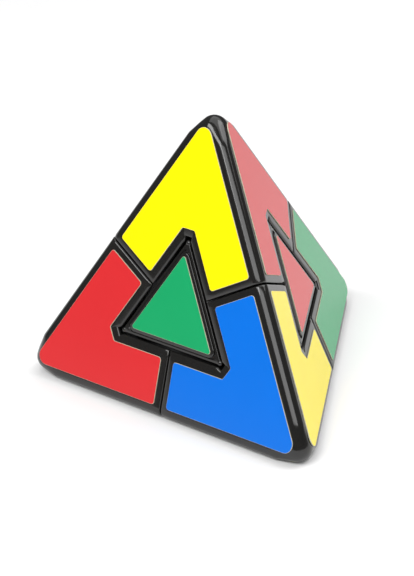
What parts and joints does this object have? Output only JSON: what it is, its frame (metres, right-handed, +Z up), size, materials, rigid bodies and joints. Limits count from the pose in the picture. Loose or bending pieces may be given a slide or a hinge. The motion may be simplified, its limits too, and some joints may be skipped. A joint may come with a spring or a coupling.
{
  "type": "pyramid twisty puzzle",
  "caption": "Hand-held pyramid-shaped twisty puzzle whose corners turn about the core and carry the triangular face centres, with scrambled coloured stickers.",
  "frame": {"origin": "middle of the base face, in the plane it rests on", "axes": "+Z up through the top corner, -Y out of the front face"},
  "size_m": [0.0932, 0.0825, 0.0774],
  "materials": {
    "black_gloss": "glossy moulded black plastic",
    "black_matte": "moulded black plastic, hidden parts",
    "nylon": "grey moulded core",
    "steel": "zinc-plated steel",
    "yellow_vinyl": "glossy vinyl sticker",
    "red_vinyl": "glossy vinyl sticker",
    "green_vinyl": "glossy vinyl sticker",
    "blue_vinyl": "glossy vinyl sticker"
  },
  "bodies": {
    "core": {"core": "nylon", "screw_top": "steel", "washer_top": "steel", "spring_top": "steel", "screw_right": "steel", "washer_right": "steel", "spring_right": "steel", "screw_back": "steel", "washer_back": "steel", "spring_back": "steel", "screw_left": "steel", "washer_left": "steel", "spring_left": "steel"},
    "corner_top": {"corner_shell_top": "black_gloss", "corner_base_top": "black_matte", "sticker_top_front": "yellow_vinyl", "sticker_top_rightside": "red_vinyl", "sticker_top_leftside": "blue_vinyl"},
    "corner_right": {"corner_shell_right": "black_gloss", "corner_base_right": "black_matte", "sticker_right_front": "blue_vinyl", "sticker_right_rightside": "yellow_vinyl", "sticker_right_base": "green_vinyl"},
    "corner_back": {"corner_shell_back": "black_gloss", "corner_base_back": "black_matte", "sticker_back_rightside": "green_vinyl", "sticker_back_leftside": "yellow_vinyl", "sticker_back_base": "red_vinyl"},
    "corner_left": {"corner_shell_left": "black_gloss", "corner_base_left": "black_matte", "sticker_left_front": "red_vinyl", "sticker_left_leftside": "green_vinyl", "sticker_left_base": "blue_vinyl"},
    "centre_front": {"centre_cap_front": "black_gloss", "centre_foot_front": "black_matte", "centre_sticker_front": "green_vinyl"},
    "centre_rightside": {"centre_cap_rightside": "black_gloss", "centre_foot_rightside": "black_matte", "centre_sticker_rightside": "red_vinyl"},
    "centre_leftside": {"centre_cap_leftside": "black_gloss", "centre_foot_leftside": "black_matte", "centre_sticker_leftside": "yellow_vinyl"},
    "centre_base": {"centre_cap_base": "black_gloss", "centre_foot_base": "black_matte", "centre_sticker_base": "blue_vinyl"},
    "edge_slide_top_right": {"edge_slide_top_right": "black_matte"},
    "edge_slide_top_back": {"edge_slide_top_back": "black_matte"},
    "edge_slide_top_left": {"edge_slide_top_left": "black_matte"},
    "edge_slide_right_back": {"edge_slide_right_back": "black_matte"},
    "edge_slide_right_left": {"edge_slide_right_left": "black_matte"},
    "edge_slide_back_left": {"edge_slide_back_left": "black_matte"}
  },
  "joints": [
    {"name": "twist_top", "type": "hinge", "parent": "core", "child": "corner_top", "pos_m": [0, 0, 0.02159], "axis": [0, 0, 1], "range_deg": [-240, 120]},
    {"name": "twist_right", "type": "hinge", "parent": "core", "child": "corner_right", "pos_m": [0, 0, 0.02159], "axis": [0.8165, -0.4714, -0.3333], "range_deg": [-240, 120]},
    {"name": "twist_back", "type": "hinge", "parent": "core", "child": "corner_back", "pos_m": [0, 0, 0.02159], "axis": [0, 0.9428, -0.3333], "range_deg": [-240, 120]},
    {"name": "twist_left", "type": "hinge", "parent": "core", "child": "corner_left", "pos_m": [0, 0, 0.02159], "axis": [-0.8165, -0.4714, -0.3333], "range_deg": [-240, 120]},
    {"name": "slide_top_right_about_right", "type": "hinge", "parent": "corner_top", "child": "edge_slide_top_right", "pos_m": [0, 0, 0.02159], "axis": [0.8165, -0.4714, -0.3333], "range_deg": [-240, 120]},
    {"name": "slide_top_back_about_back", "type": "hinge", "parent": "corner_top", "child": "edge_slide_top_back", "pos_m": [0, 0, 0.02159], "axis": [0, 0.9428, -0.3333], "range_deg": [-240, 120]},
    {"name": "slide_top_left_about_left", "type": "hinge", "parent": "corner_top", "child": "edge_slide_top_left", "pos_m": [0, 0, 0.02159], "axis": [-0.8165, -0.4714, -0.3333], "range_deg": [-240, 120]},
    {"name": "slide_right_back_about_back", "type": "hinge", "parent": "corner_right", "child": "edge_slide_right_back", "pos_m": [0, 0, 0.02159], "axis": [0, 0.9428, -0.3333], "range_deg": [-240, 120]},
    {"name": "slide_right_left_about_right", "type": "hinge", "parent": "corner_left", "child": "edge_slide_right_left", "pos_m": [0, 0, 0.02159], "axis": [0.8165, -0.4714, -0.3333], "range_deg": [-240, 120]},
    {"name": "slide_back_left_about_left", "type": "hinge", "parent": "corner_back", "child": "edge_slide_back_left", "pos_m": [0, 0, 0.02159], "axis": [-0.8165, -0.4714, -0.3333], "range_deg": [-240, 120]},
    {"name": "centre_base_about_left", "type": "hinge", "parent": "edge_slide_right_back", "child": "centre_base", "pos_m": [0, 0, 0.02159], "axis": [-0.8165, -0.4714, -0.3333], "range_deg": [-240, 120]},
    {"name": "centre_leftside_about_left", "type": "hinge", "parent": "edge_slide_top_back", "child": "centre_leftside", "pos_m": [0, 0, 0.02159], "axis": [-0.8165, -0.4714, -0.3333], "range_deg": [-240, 120]},
    {"name": "centre_front_about_right", "type": "hinge", "parent": "edge_slide_top_left", "child": "centre_front", "pos_m": [0, 0, 0.02159], "axis": [0.8165, -0.4714, -0.3333], "range_deg": [-240, 120]},
    {"name": "centre_rightside_about_back", "type": "hinge", "parent": "edge_slide_top_right", "child": "centre_rightside", "pos_m": [0, 0, 0.02159], "axis": [0, 0.9428, -0.3333], "range_deg": [-240, 120]}
  ],
  "couplings": [
    {"joint": "slide_top_right_about_right", "follows": "twist_right", "ratio": 1},
    {"joint": "slide_top_back_about_back", "follows": "twist_back", "ratio": 1},
    {"joint": "slide_top_left_about_left", "follows": "twist_left", "ratio": 1},
    {"joint": "slide_right_back_about_back", "follows": "twist_back", "ratio": 1},
    {"joint": "slide_right_left_about_right", "follows": "twist_right", "ratio": 1},
    {"joint": "slide_back_left_about_left", "follows": "twist_left", "ratio": 1},
    {"joint": "centre_base_about_left", "follows": "twist_left", "ratio": 1},
    {"joint": "centre_leftside_about_left", "follows": "twist_left", "ratio": 1},
    {"joint": "centre_front_about_right", "follows": "twist_right", "ratio": 1},
    {"joint": "centre_rightside_about_back", "follows": "twist_back", "ratio": 1}
  ]
}
